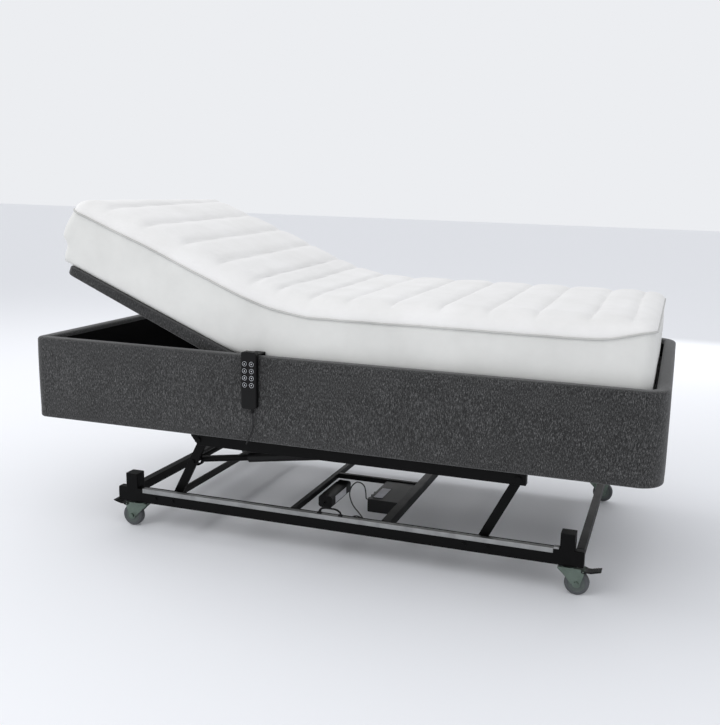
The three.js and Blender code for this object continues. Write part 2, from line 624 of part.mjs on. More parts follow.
export default bed;
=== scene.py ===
import bpy
import bmesh
import math
import numpy as np
from mathutils import Matrix, Vector, noise


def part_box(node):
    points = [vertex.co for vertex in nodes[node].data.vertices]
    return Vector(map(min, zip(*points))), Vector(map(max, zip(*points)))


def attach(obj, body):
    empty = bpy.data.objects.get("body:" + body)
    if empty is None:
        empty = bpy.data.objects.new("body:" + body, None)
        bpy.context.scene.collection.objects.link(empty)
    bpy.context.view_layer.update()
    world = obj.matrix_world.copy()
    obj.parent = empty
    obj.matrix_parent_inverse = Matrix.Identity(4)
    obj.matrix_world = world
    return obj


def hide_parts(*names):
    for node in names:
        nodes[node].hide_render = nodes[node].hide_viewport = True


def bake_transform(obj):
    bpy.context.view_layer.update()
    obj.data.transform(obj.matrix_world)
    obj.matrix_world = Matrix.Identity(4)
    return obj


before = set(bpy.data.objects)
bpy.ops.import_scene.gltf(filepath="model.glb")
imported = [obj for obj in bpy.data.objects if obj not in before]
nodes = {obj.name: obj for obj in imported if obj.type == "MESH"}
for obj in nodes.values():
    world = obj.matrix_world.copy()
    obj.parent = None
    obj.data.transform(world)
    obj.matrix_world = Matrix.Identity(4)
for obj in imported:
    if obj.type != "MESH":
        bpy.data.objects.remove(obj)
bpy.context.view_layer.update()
SIDE = 0.01205                       # the whole part is moved across so that its box is centred

# ---------------------------------------------------------------- camera
YAW, PITCH, ROLL = (math.radians(a) for a in (17.2529, -11.3199, 1.6132))
EYE = Vector((1.0407, -2.9885 + SIDE, 1.1872))
look = Vector((-math.sin(YAW) * math.cos(PITCH), math.cos(YAW) * math.cos(PITCH), math.sin(PITCH)))
level = Vector((math.cos(YAW), math.sin(YAW), 0))
over = level.cross(look)
right = level * math.cos(ROLL) + over * math.sin(ROLL)
up = -level * math.sin(ROLL) + over * math.cos(ROLL)
camera_data = bpy.data.cameras.new("camera")
camera = bpy.data.objects.new("camera", camera_data)
bpy.context.collection.objects.link(camera)
camera.matrix_world = Matrix((
    (right.x, up.x, -look.x, EYE.x),
    (right.y, up.y, -look.y, EYE.y),
    (right.z, up.z, -look.z, EYE.z),
    (0, 0, 0, 1)))
camera_data.sensor_fit = "HORIZONTAL"
camera_data.sensor_width = 36
camera_data.lens = 44.486
camera_data.shift_x = -0.0575
camera_data.shift_y = 0.0044
camera_data.clip_end = 200
bpy.context.scene.camera = camera


# ---------------------------------------------------------------- materials
def rgb(r, g, b):
    """A colour given as it looks on screen, 0 to 255, turned to linear light."""
    return tuple(pow(c / 255, 2.2) for c in (r, g, b)) + (1.0,)


def shifted(base, times, plus=0.0):
    """A linear colour made paler or darker."""
    return tuple(min(1.0, c * times + plus) for c in base[:3]) + (1.0,)


class Look:
    """A principled material with a few helpers for its nodes."""

    def __init__(self, name, base, rough, metal=0.0):
        self.mat = bpy.data.materials.new(name)
        self.mat.use_nodes = True
        self.tree = self.mat.node_tree
        self.shader = self.tree.nodes["Principled BSDF"]
        self.surface(Base_Color=base, Roughness=rough, Metallic=metal)
        self.mat.diffuse_color = base
        self.coords = self.node("ShaderNodeTexCoord").outputs["Object"]

    def surface(self, **inputs):
        """Sets inputs of the shader, named with underscores for spaces."""
        for key, value in inputs.items():
            self.shader.inputs[key.replace("_", " ")].default_value = value

    def node(self, kind, **inputs):
        made = self.tree.nodes.new(kind)
        for key, value in inputs.items():
            made.inputs[key.replace("_", " ")].default_value = value
        return made

    def link(self, a, b):
        self.tree.links.new(a, b)

    def scaled(self, x, y, z):
        mapping = self.node("ShaderNodeMapping")
        mapping.inputs["Scale"].default_value = (x, y, z)
        self.link(self.coords, mapping.inputs["Vector"])
        return mapping.outputs["Vector"]

    def noise(self, scale, detail=2.0, rough=0.5, vector=None):
        made = self.node("ShaderNodeTexNoise", Scale=scale, Detail=detail, Roughness=rough)
        self.link(vector or self.coords, made.inputs["Vector"])
        return made.outputs["Fac"]

    def ramp(self, value, stops):
        made = self.tree.nodes.new("ShaderNodeValToRGB")
        marks = made.color_ramp.elements
        while len(marks) < len(stops):
            marks.new(0.5)
        for mark, (place, colour) in zip(marks, stops):
            mark.position = place
            mark.color = colour
        self.link(value, made.inputs["Fac"])
        return made.outputs["Color"]

    def maths(self, kind, a, b):
        made = self.tree.nodes.new("ShaderNodeMath")
        made.operation = kind
        for socket, value in zip(made.inputs, (a, b)):
            if isinstance(value, (int, float)):
                socket.default_value = value
            else:
                self.link(value, socket)
        return made.outputs[0]

    def mix(self, factor, a, b, kind="MIX"):
        made = self.tree.nodes.new("ShaderNodeMix")
        made.data_type = "RGBA"
        made.blend_type = kind
        for socket, value in ((made.inputs[0], factor), (made.inputs[6], a), (made.inputs[7], b)):
            if isinstance(value, (int, float, tuple)):
                socket.default_value = value
            else:
                self.link(value, socket)
        return made.outputs[2]

    def colour(self, value):
        self.link(value, self.shader.inputs["Base Color"])

    def rough(self, value, low, high):
        made = self.node("ShaderNodeMapRange")
        made.inputs["To Min"].default_value = low
        made.inputs["To Max"].default_value = high
        self.link(value, made.inputs["Value"])
        self.link(made.outputs[0], self.shader.inputs["Roughness"])

    def bump(self, height, strength, distance):
        made = self.node("ShaderNodeBump", Strength=strength, Distance=distance)
        self.link(height, made.inputs["Height"])
        self.link(made.outputs["Normal"], self.shader.inputs["Normal"])

    def wave(self, scale, axis, distortion=0.0, vector=None):
        made = self.node("ShaderNodeTexWave", Scale=scale, Distortion=distortion)
        made.bands_direction = axis
        self.link(vector or self.coords, made.inputs["Vector"])
        return made.outputs["Fac"]


def charcoal_weave(name, lift=1.0):
    """Heather upholstery: dark yarn with lighter and darker slubs that run up and down."""
    look = Look(name, rgb(66, 66, 68), 0.92)
    look.surface(Sheen_Weight=0.25, Sheen_Roughness=0.5, Specular_IOR_Level=0.25)

    def grey(tint):
        return rgb(tint * lift, tint * lift, tint * lift)

    slub = look.noise(1.0, 3.0, 0.65, look.scaled(410, 410, 118))
    fleck = look.noise(1.0, 2.0, 0.6, look.scaled(820, 820, 340))
    patch = look.noise(9.0, 3.0, 0.55)
    both = look.maths("ADD", look.maths("MULTIPLY", slub, 0.62), look.maths("MULTIPLY", fleck, 0.38))
    tone = look.ramp(both, [(0.35, grey(20)), (0.46, grey(47)), (0.55, grey(68)), (0.67, grey(124))])
    shade = look.ramp(patch, [(0.3, rgb(228, 228, 228)), (0.7, rgb(255, 255, 255))])
    look.colour(look.mix(1.0, tone, shade, "MULTIPLY"))
    warp = look.wave(230, "X")
    weft = look.wave(230, "Z")
    weave = look.maths("ADD", look.maths("MULTIPLY", look.maths("ADD", warp, weft), 0.5), both)
    look.bump(weave, 0.35, 0.0006)
    return look.mat


def white_knit(name, base, low, high):
    """Stretch knit ticking: fine ribs, a soft mottle, and a fine pile."""
    look = Look(name, base, 0.86)
    look.surface(Sheen_Weight=0.2, Specular_IOR_Level=0.25)
    mottle = look.noise(6.0, 4.0, 0.6)
    fine = look.noise(900.0, 2.0, 0.5)
    look.colour(look.ramp(mottle, [(0.25, low), (0.75, high)]))
    ribs = look.wave(170, "X", 1.5)
    cross = look.wave(120, "Y", 2.5)
    pile = look.maths("ADD", look.maths("MULTIPLY", look.maths("MULTIPLY", ribs, cross), 0.6), fine)
    look.rough(fine, 0.8, 0.95)
    look.bump(pile, 0.12, 0.0006)
    return look.mat


def powder_coat(name, base, sheen=0.42):
    """Satin powder coat with orange peel, and paler dusty patches."""
    look = Look(name, base, sheen)
    look.surface(Specular_IOR_Level=0.12)
    peel = look.noise(520.0, 2.0, 0.5)
    dust = look.noise(14.0, 5.0, 0.65)
    worn = shifted(base, 2.4, 0.006)
    look.colour(look.ramp(dust, [(0.35, base), (0.62, base), (0.82, worn)]))
    look.rough(dust, sheen - 0.07, sheen + 0.16)
    look.bump(peel, 0.10, 0.0005)
    return look.mat


def moulded(name, base, sheen=0.5, grain=700.0, depth=0.10, shine=0.5):
    """Moulded plastic with a fine spark-eroded grain."""
    look = Look(name, base, sheen)
    look.surface(Specular_IOR_Level=shine)
    spark = look.noise(grain, 3.0, 0.6)
    smear = look.noise(11.0, 4.0, 0.6)
    pale = shifted(base, 1.7, 0.002)
    look.colour(look.ramp(smear, [(0.35, base), (0.8, pale)]))
    look.rough(smear, sheen - 0.06, sheen + 0.12)
    look.bump(spark, depth, 0.0004)
    return look.mat


def metal(name, base, rough, brushed=(40, 900, 900), wear=0.08):
    """Bare or plated metal with a drawn finish and faint staining."""
    look = Look(name, base, rough, 1.0)
    lines = look.noise(1.0, 3.0, 0.6, look.scaled(*brushed))
    stain = look.noise(22.0, 4.0, 0.6)
    dull = shifted(base, 0.72)
    look.colour(look.ramp(stain, [(0.3, dull), (0.6, base)]))
    look.rough(lines, rough - wear, rough + wear)
    look.bump(lines, 0.08, 0.0003)
    return look.mat


FABRIC = charcoal_weave("charcoal_heather")
FABRIC_DECK = charcoal_weave("deck_fabric", 0.9)
LINING = moulded("black_lining", rgb(9, 9, 10), 0.95, 900.0, 0.25, shine=0.1)
KNIT = white_knit("quilted_knit", rgb(230, 229, 227), rgb(223, 222, 220), rgb(233, 232, 231))
BORDER = white_knit("border_knit", rgb(215, 215, 212), rgb(207, 207, 204), rgb(220, 220, 217))
PIPING = white_knit("piping_tape", rgb(184, 184, 181), rgb(170, 170, 167), rgb(198, 198, 195))
STEEL = powder_coat("satin_black_steel", rgb(7, 7, 8), 0.48)
STRIP = metal("anodised_strip", rgb(158, 159, 159), 0.45, (8, 700, 700))
RUBBER = moulded("grey_tyre", rgb(66, 68, 70), 0.72, 380.0, 0.14)
HUB = moulded("grey_hub", rgb(70, 76, 74), 0.5)
ZINC = metal("zinc_plate", rgb(112, 124, 116), 0.42, (300, 300, 300), 0.12)
CHROME = metal("polished_rod", rgb(205, 206, 208), 0.14, (30, 800, 800), 0.05)
PLASTIC = moulded("black_plastic", rgb(9, 9, 10), 0.5, shine=0.25)
HANDSET_SHELL = moulded("handset_shell", rgb(6, 6, 7), 0.45, 900.0, 0.06, shine=0.2)
KEY = moulded("key_pad", rgb(12, 12, 13), 0.6, 800.0, 0.05, shine=0.2)
PRINT = moulded("key_print", rgb(176, 178, 182), 0.5, 900.0, 0.02)
LABEL = moulded("blank_label", rgb(226, 226, 232), 0.55, 400.0, 0.02)
PALE_LABEL = moulded("pale_label", rgb(172, 172, 180), 0.5, 400.0, 0.02)
JACKET = moulded("cord_jacket", rgb(14, 14, 15), 0.5, 600.0, 0.05)


# ---------------------------------------------------------------- mesh helpers
def make(name, verts, faces, materials, indices=None, smooth=True):
    mesh = bpy.data.meshes.new(name)
    mesh.from_pydata([tuple(v) for v in verts], [], faces)
    for material in materials:
        mesh.materials.append(material)
    if indices is not None:
        mesh.polygons.foreach_set("material_index", indices)
    mesh.polygons.foreach_set("use_smooth", [smooth] * len(mesh.polygons))
    mesh.update()
    obj = bpy.data.objects.new(name, mesh)
    bpy.context.collection.objects.link(obj)
    return obj


def face_out(obj):
    """Joins doubled points and turns every face outwards."""
    work = bmesh.new()
    work.from_mesh(obj.data)
    bmesh.ops.remove_doubles(work, verts=work.verts, dist=1e-6)
    bmesh.ops.recalc_face_normals(work, faces=work.faces)
    work.to_mesh(obj.data)
    work.free()
    return obj


def crisp(obj, width, segments=2, angle=30):
    """Rounded edges and smooth curves on a mesh with hard corners."""
    bevel = obj.modifiers.new("edge", "BEVEL")
    bevel.width = width
    bevel.segments = segments
    bevel.limit_method = "ANGLE"
    bevel.angle_limit = math.radians(angle)
    bevel.use_clamp_overlap = True
    weighted = obj.modifiers.new("shade", "WEIGHTED_NORMAL")
    weighted.keep_sharp = False


def tube(name, path, radius, material, sides=10, closed=False):
    """A round tube along points, as a curve, so its own line is its centreline."""
    data = bpy.data.curves.new(name, "CURVE")
    data.dimensions = "3D"
    data.bevel_depth = radius
    data.bevel_resolution = max(1, sides // 4)
    data.use_fill_caps = True
    spline = data.splines.new("POLY")
    spline.points.add(len(path) - 1)
    for point, place in zip(spline.points, path):
        point.co = (*place, 1)
    spline.use_cyclic_u = closed
    data.materials.append(material)
    obj = bpy.data.objects.new(name, data)
    bpy.context.collection.objects.link(obj)
    return obj


def smooth_path(points, steps):
    """A centripetal Catmull-Rom curve through the points, as the CAD draws it."""
    pts = [np.array(p, float) for p in points]
    pts = [2 * pts[0] - pts[1]] + pts + [2 * pts[-1] - pts[-2]]
    out = []
    for i in range(1, len(pts) - 2):
        a, b, c, d = pts[i - 1:i + 3]
        t0 = 0.0
        t1 = t0 + math.sqrt(np.linalg.norm(b - a))
        t2 = t1 + math.sqrt(np.linalg.norm(c - b))
        t3 = t2 + math.sqrt(np.linalg.norm(d - c))
        for k in range(steps):
            t = t1 + (t2 - t1) * k / steps
            ab = (t1 - t) / (t1 - t0) * a + (t - t0) / (t1 - t0) * b
            bc = (t2 - t) / (t2 - t1) * b + (t - t1) / (t2 - t1) * c
            cd = (t3 - t) / (t3 - t2) * c + (t - t2) / (t3 - t2) * d
            abc = (t2 - t) / (t2 - t0) * ab + (t - t0) / (t2 - t0) * bc
            bcd = (t3 - t) / (t3 - t1) * bc + (t - t1) / (t3 - t1) * cd
            out.append((t2 - t) / (t2 - t1) * abc + (t - t1) / (t2 - t1) * bcd)
    out.append(pts[-2])
    return np.array(out)


def wrap(rings, size):
    """Faces between neighbouring closed rings of points, with the last ring joined to the first."""
    faces = []
    for i in range(rings):
        j = (i + 1) % rings
        for k in range(size):
            m = (k + 1) % size
            faces.append((i * size + k, j * size + k, j * size + m, i * size + m))
    return faces


def spun(name, centre, axis, profile, materials, sides, indices):
    """A lathe about an axis through centre: the profile is (radius, place along the axis), closed."""
    facing = Vector(axis).normalized().to_track_quat("Z", "Y").to_matrix()
    verts = []
    for i in range(sides):
        turn = 2 * math.pi * i / sides
        for r, h in profile:
            local = Vector((r * math.cos(turn), r * math.sin(turn), h))
            verts.append(Vector(centre) + facing @ local)
    return face_out(make(name, verts, wrap(sides, len(profile)), materials, indices * sides))


def plate(name, low, high, edge, material):
    """A thin box with chamfered edges."""
    work = bmesh.new()
    bmesh.ops.create_cube(work, size=1.0)
    size = Vector(high) - Vector(low)
    centre = (Vector(high) + Vector(low)) / 2
    for v in work.verts:
        v.co = Vector((v.co.x * size.x, v.co.y * size.y, v.co.z * size.z)) + centre
    bmesh.ops.bevel(work, geom=work.edges[:], offset=edge, segments=1, profile=0.6, affect="EDGES")
    mesh = bpy.data.meshes.new(name)
    work.to_mesh(mesh)
    work.free()
    mesh.materials.append(material)
    mesh.polygons.foreach_set("use_smooth", [True] * len(mesh.polygons))
    obj = bpy.data.objects.new(name, mesh)
    bpy.context.collection.objects.link(obj)
    weighted = obj.modifiers.new("shade", "WEIGHTED_NORMAL")
    weighted.weight = 80
    return obj


# ---------------------------------------------------------------- cords
HANDSET_CORD = [
    (-215, -521.5, 473.4), (-214.5, -521.5, 462), (-213, -521.5, 440), (-217, -521.5, 415), (-227, -521, 392),
    (-237, -516, 374), (-246, -503, 365.5), (-254, -484, 362.5), (-259, -467.5, 364), (-262, -460.3, 371),
    (-267, -455, 379), (-278, -449, 378.2), (-296, -447, 375.4), (-330, -447, 375), (-368, -447, 375),
    (-383, -444, 375), (-389, -437, 375), (-383, -430, 375), (-368, -427, 375), (-330, -427, 375),
    (-220, -427, 375), (-110, -427, 375), (0, -427, 375), (26, -424, 376.5), (42, -413, 384),
    (50, -396, 400), (54, -376, 413), (61, -362, 418), (73.3, -358, 418),
]
POWER_CORD = [
    (73, -215, 124), (66, -215, 125), (60, -206, 142), (50, -193, 160), (36, -186, 168), (19, -184, 169),
    (7, -196, 160), (11, -235, 145), (42, -290, 128), (86, -345, 121.6), (116, -384, 119), (128, -404, 123),
    (121, -413, 133), (103, -414, 137.5), (80, -408, 126), (52, -397, 102), (24, -392, 84), (-10, -380, 74),
    (-48, -346, 70), (-74, -300, 71), (-84, -262, 80), (-84, -241, 94), (-83, -230, 97),
]


def make_cord(name, route, radius, body, node):
    """A cord along a route of points in millimetres."""
    path = smooth_path([(x / 1000, y / 1000 + SIDE, z / 1000) for x, y, z in route], 8)
    obj = tube(name, path, radius, JACKET, 12)
    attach(obj, body)
    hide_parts(node)


make_cord("handset_lead", HANDSET_CORD, 0.0025, "upper_frame", "handset_cord")
make_cord("box_lead", POWER_CORD, 0.0022, "base", "power_cord")

# ---------------------------------------------------------------- surround
WALL, LOW, HIGH = 0.042, 0.375, 0.655
HALF_X, HALF_Y = 1.045, 0.510
RADII = {"head": 0.032, "foot": 0.076}
TOP_EDGE = 0.011                     # rounding of the wall's top edges
LOW_EDGE = 0.0077                    # rounding of its outer bottom edge
LINING_BACK = 0.0015                 # the lining is set back this far from the inner face of the cloth
SEAM_RADIUS = 0.0007


def outline(step=0.012):
    """The surround's plan as points with outward normals, going round once from the near foot corner."""
    points = []
    corners = [(HALF_X, -HALF_Y, RADII["foot"], -90), (HALF_X, HALF_Y, RADII["foot"], 0),
               (-HALF_X, HALF_Y, RADII["head"], 90), (-HALF_X, -HALF_Y, RADII["head"], 180)]
    arcs = []
    for cx, cy, r, start in corners:
        centre = Vector((cx - math.copysign(r, cx), cy - math.copysign(r, cy)))
        count = max(8, int(r * math.pi / 2 / 0.005))
        arc = []
        for k in range(count + 1):
            angle = math.radians(start + 90 * k / count)
            normal = Vector((math.cos(angle), math.sin(angle)))
            arc.append((centre + normal * r, normal))
        arcs.append(arc)
    for i, arc in enumerate(arcs):
        points += arc
        after = arcs[(i + 1) % 4][0]
        run = (after[0] - arc[-1][0]).length
        count = int(run / step)
        for k in range(1, count):
            points.append((arc[-1][0].lerp(after[0], k / count), arc[-1][1]))
    return points


def surround_section():
    """The wall's closed section as (place outwards, height, material), from the outer bottom edge upwards."""
    section = []
    for k in range(7):
        turn = math.radians(-90 + 15 * k)
        section.append((LOW_EDGE * (math.cos(turn) - 1), LOW + LOW_EDGE * (1 + math.sin(turn)), 0))
    flat = HIGH - LOW - LOW_EDGE - TOP_EDGE
    for k in range(1, 22):
        t = k / 22
        section.append((0.0012 * math.sin(math.pi * t), LOW + LOW_EDGE + flat * t, 0))
    for k in range(8):
        turn = math.radians(90 * k / 7)
        section.append((TOP_EDGE * (math.cos(turn) - 1), HIGH + TOP_EDGE * (math.sin(turn) - 1), 0))
    for k in range(1, 4):
        crown = 0.0006 * math.sin(math.pi * k / 4)
        section.append((-TOP_EDGE - (WALL - 2 * TOP_EDGE) * k / 4, HIGH + crown, 0))
    for k in range(8):
        turn = math.radians(90 + 90 * k / 7)
        section.append((-WALL + TOP_EDGE * (1 + math.cos(turn)), HIGH + TOP_EDGE * (math.sin(turn) - 1), 0))
    lining = LINING_BACK - WALL
    section += [(-WALL, HIGH - 0.016, 1), (-WALL, HIGH - 0.026, 1)]
    section += [(lining, z, 1) for z in (HIGH - 0.028, HIGH - 0.08, LOW + 0.1, LOW + 0.002)]
    section += [(0.004 - WALL, LOW, 1), (-0.03, LOW, 1), (-0.02, LOW, 0)]
    return section


def surround_cover():
    """The upholstered wall that goes round the deck, with faint ripples in its cloth."""
    section = surround_section()
    ring = outline()
    verts = []
    for point, normal in ring:
        for out, z, _ in section:
            ripple = 0.0
            if out > -0.03 and z > LOW + 0.02:
                ripple = 0.0011 * noise.noise((point.x * 3.1, point.y * 3.1, z * 7.0))
            spot = point + normal * (out + ripple - 0.0006)
            verts.append((spot.x, spot.y + SIDE, z))
    faces = wrap(len(ring), len(section))
    marks = [mark for _, _, mark in section] * len(ring)
    obj = face_out(make("surround_upholstery", verts, faces, [FABRIC, LINING], marks))
    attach(obj, "upper_frame")
    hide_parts("surround_near", "surround_far", "surround_head", "surround_foot")


def seam(name, x, side):
    """An upright sewn seam, as a fine raised cord of thread on the outer face."""
    low, tall = LOW + 0.012, HIGH - LOW - 0.026
    points = [(x, side * (HALF_Y - 0.0002) + SIDE, low + tall * k / 12) for k in range(13)]
    obj = tube(name, points, SEAM_RADIUS, FABRIC, 6)
    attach(obj, "upper_frame")


surround_cover()
SEAM_X = {"head": -HALF_X + RADII["head"] + 0.004, "foot": HALF_X - RADII["foot"] - 0.004}
for side, tag in ((-1, "near"), (1, "far")):
    for end, x in SEAM_X.items():
        seam(f"corner_seam_{end}_{tag}", x, side)

# ---------------------------------------------------------------- upholstered deck boards
HEAD_HINGE = Vector((-0.198, SIDE, 0.587))
SLOPE = math.radians(22.5)
tilt = Matrix.Translation(HEAD_HINGE) @ Matrix.Rotation(SLOPE, 4, "Y") @ Matrix.Translation(-HEAD_HINGE)
BOARD_HALF = 0.4606
BOARD_LOW, BOARD_HIGH = 0.5503, 0.5947


def rounded_plan(x, radii, inset):
    """Points of a board's plan between two places in x, with a corner radius at each, drawn in by inset."""
    points = []
    corners = ((1, -1, -90), (1, 1, 0), (0, 1, 90), (0, -1, 180))
    for end, side, start in corners:
        r = radii[end]
        centre_x = x[end] - r if end else x[end] + r
        centre_y = side * (BOARD_HALF - r)
        for k in range(7):
            turn = math.radians(start + 15 * k)
            points.append((centre_x + (r - inset) * math.cos(turn), centre_y + (r - inset) * math.sin(turn)))
    return points


def board(name, x, radii, edge, body, swap, turned=False, thin=0.0):
    """A deck board: cloth over the top, sides and rolled edges, and lining underneath.

    With thin, the underside rises by that much towards the head end."""
    levels = []
    for k in range(6):
        turn = math.radians(18 * k)
        levels.append((edge * (1 - math.sin(turn)), BOARD_LOW + edge * (1 - math.cos(turn))))
    for k in range(6):
        turn = math.radians(18 * k)
        levels.append((edge * (1 - math.cos(turn)), BOARD_HIGH - edge + edge * math.sin(turn)))
    verts, faces, marks = [], [], []
    for inset, height in levels:
        lift = thin * (1 - (height - BOARD_LOW) / (BOARD_HIGH - BOARD_LOW))
        verts += [(px, py + SIDE, height + lift * ((x[1] - px) / (x[1] - x[0])))
                  for px, py in rounded_plan(x, radii, inset)]
    n = len(verts) // len(levels)
    for level in range(len(levels) - 1):
        for k in range(n):
            m = (k + 1) % n
            a, b = level * n, (level + 1) * n
            faces.append((a + k, a + m, b + m, b + k))
            marks.append(0)
    faces.append(tuple(range(n))[::-1])
    marks.append(1)
    faces.append(tuple(range((len(levels) - 1) * n, len(levels) * n)))
    marks.append(0)
    obj = make(name, verts, faces, [FABRIC_DECK, LINING], marks)
    if turned:
        obj.data.transform(tilt)
    obj.modifiers.new("shade", "WEIGHTED_NORMAL")
    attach(obj, body)
    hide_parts(swap)


def lever_under(name, node, body, point, normal):
    """The steel lever below a board: what the CAD solid has on the low side of a plane."""
    mesh = nodes[node].data.copy()
    work = bmesh.new()
    work.from_mesh(mesh)
    bmesh.ops.bisect_plane(work, geom=work.verts[:] + work.edges[:] + work.faces[:], plane_co=point,
                           plane_no=normal, clear_outer=True)
    bmesh.ops.remove_doubles(work, verts=work.verts, dist=1e-5)
    work.to_mesh(mesh)
    work.free()
    mesh.materials.clear()
    mesh.materials.append(STEEL)
    obj = bpy.data.objects.new(name, mesh)
    bpy.context.collection.objects.link(obj)
    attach(obj, body)


back_normal = Vector((math.sin(SLOPE), 0, math.cos(SLOPE)))
board("backrest_board", (-0.996, -0.2035), (0.03, 0.008), 0.008, "backrest", "backrest_panel", True, 0.016)
board("seat_board", (-0.1925, 0.0515), (0.008, 0.008), 0.007, "upper_frame", "seat_panel")
board("thigh_board", (0.0585, 0.407), (0.008, 0.008), 0.007, "thigh", "thigh_panel")
board("calf_board", (0.412, 0.9975), (0.008, 0.038), 0.007, "calf", "calf_panel")
lever_under("backrest_lever", "backrest_panel", "backrest", HEAD_HINGE - back_normal * 0.0371, back_normal)
lever_under("thigh_lever", "thigh_panel", "thigh", Vector((0.055, SIDE, 0.5499)), Vector((0, 0, 1)))

# ---------------------------------------------------------------- mattress
BEND_TANGENT = 0.2
OVERHANG = 0.013                     # the head end reaches this far past the surround's inner face when flat
BEND_RADIUS = BEND_TANGENT / math.tan(SLOPE / 2)
BEND_HALF = BEND_RADIUS * SLOPE / 2
BEND_X = -0.196
BOTTOM = 0.597
S_HEAD = -(0.841 + OVERHANG - BEND_TANGENT + BEND_HALF)
S_FOOT = 0.9925 - (BEND_X + BEND_TANGENT) + BEND_HALF
HALF = 0.458
CORNER = 0.042
BORDER_H = 0.180                     # height of the side border
CROWN = 0.247                        # height of the quilted top in the middle
TOP_LIMIT = 0.2478
LIP = 0.004                          # the quilted top starts this far above the border
CROWN_REACH = 0.115                  # the top rises to its full height over this distance from the edge
GROOVE_WIDTH, GROOVE_DEPTH = 0.0125, 0.0095
PULLED_IN = 0.0175                   # the bottom edge is drawn in under the border
PIPE = 0.0034                        # radius of the piping
RIM_FROM, RIM_BLEND = 0.051, 0.034   # the surround's rim, as a height on the head border
CHANNELS = (-0.755, -0.608, -0.462, -0.317, -0.178, -0.063, 0.09, 0.244, 0.397, 0.551, 0.701, 0.843,
            0.998, 1.115)
SPLITS = (-0.317, 0.09, 0.397)


def step(t):
    """A smooth rise from 0 to 1."""
    t = min(1.0, max(0.0, t))
    return t * t * (3 - 2 * t)


def spine(s):
    """The mattress's underside at path length s: its place and its upward normal in the side plane."""
    if s >= BEND_HALF:
        return (BEND_X + BEND_TANGENT + s - BEND_HALF, BOTTOM), (0.0, 1.0)
    centre = (BEND_X + BEND_TANGENT, BOTTOM + BEND_RADIUS)
    turn = min(SLOPE, (BEND_HALF - s) / BEND_RADIUS)
    normal = (math.sin(turn), math.cos(turn))
    place = (centre[0] - BEND_RADIUS * normal[0], centre[1] - BEND_RADIUS * normal[1])
    extra = max(0.0, -BEND_HALF - s)
    return (place[0] - extra * math.cos(turn), place[1] + extra * math.sin(turn)), normal


def inner(s, y):
    """How far inside the plan outline a point lies, and the outward direction there."""
    mid, half = (S_HEAD + S_FOOT) / 2, (S_FOOT - S_HEAD) / 2
    qx, qy = abs(s - mid) - (half - CORNER), abs(y) - (HALF - CORNER)
    sx, sy = math.copysign(1, s - mid), math.copysign(1, y)
    if qx > 0 and qy > 0:
        reach = math.hypot(qx, qy)
        return CORNER - reach, (sx * qx / reach, sy * qy / reach)
    if qx > qy:
        return CORNER - qx, (sx, 0.0)
    return CORNER - qy, (0.0, sy)


def half_width(s):
    """Half the mattress's width, which rounds off at both ends."""
    back = min(s - S_HEAD, S_FOOT - s)
    if back >= CORNER:
        return HALF
    return HALF - CORNER + math.sqrt(max(0.0, CORNER ** 2 - (CORNER - back) ** 2))


def border_height(s):
    """Height of the border: a slight wave, fuller at the foot and lower at the head."""
    wave = 0.0016 * noise.noise(Vector((s * 11.0, 0.3, 0.0)))
    wave += 0.0007 * noise.noise(Vector((s * 37.0, 4.1, 0.0)))
    foot = 0.030 * step((s - (S_FOOT - 0.17)) / 0.17)
    head = 0.006 * step((-0.5 - s) / 0.33)
    return wave + BORDER_H + foot - head


def lump(x, y, z, seed):
    """Smooth unevenness, from -1 to 1."""
    return noise.noise(Vector((x + seed, y + 1.7 * seed, z - seed)))


def top_height(s, y):
    """Height of the quilted top: a crown, sewn channels between puffs, and wrinkles near the bends."""
    edge, _ = inner(s, y)
    base = border_height(s) + LIP
    rise = CROWN - base - 0.009 * step((-0.45 - s) / 0.38)
    t = min(1.0, max(0.0, edge / CROWN_REACH))
    dome = (1 - (1 - t) ** 2.4) ** 0.5
    height = base + rise * dome
    fade = step((edge - 0.012) / 0.07)
    wander = 0.004 * lump(y * 3.0, s * 2.0, 0, 3.0)
    wander += 0.05 * y * (1 - step((s - 0.1) / 0.3))
    groove = sum(math.exp(-abs(s + wander - c) / GROOVE_WIDTH) for c in CHANNELS)
    puff = min(abs(s + wander - c) for c in CHANNELS)
    height -= fade * (GROOVE_DEPTH * min(1.0, groove))
    height += fade * 0.002 * step(puff / 0.05)
    height += step(edge / 0.05) * 0.0019 * lump(s * 9, y * 6, 0, 0.0)
    height += step(edge / 0.03) * 0.0011 * lump(s * 30, y * 11, 0, 5.0)
    pulled = math.exp(-((s - 0.44) / 0.10) ** 2) + 0.6 * math.exp(-((s + 0.10) / 0.12) ** 2)
    height += fade * pulled * 0.0036 * lump(s * 42 + y * 6, y * 3.5, 0, 9.0)
    return min(height, TOP_LIMIT)


def head_lean(s, h):
    """How far the head border stands out: it bulges above the surround's rim and tucks in below it."""
    near = step((S_HEAD + 0.05 - s) / 0.05)
    tuck = step((h - RIM_FROM) / RIM_BLEND)
    bulge = 0.011 * math.sin(math.pi * min(1.0, h / 0.186))
    return near * (bulge * tuck - (OVERHANG + 0.0012) * (1 - tuck))


def border_out(s, y, h, top):
    """How far the border stands out of the plan outline at height h."""
    t = h / top
    out = 0.0035 * math.sin(math.pi * min(1.0, max(0.0, t))) - 0.0035
    if h < 0.02:
        out -= 0.014 * (1 - h / 0.02) ** 2
    if t > 0.93:
        out -= 0.003 * ((t - 0.93) / 0.07) ** 2
    out += head_lean(s, h)
    near_foot = step((s - (S_FOOT - 0.25)) / 0.2)
    out += 0.0016 * lump(s * 7, h * 9, y * 7, 2.0) * math.sin(math.pi * t)
    out += (0.0009 + 0.0022 * near_foot) * lump(s * 26, h * 6, y * 26, 7.0) * math.sin(math.pi * t)
    return out


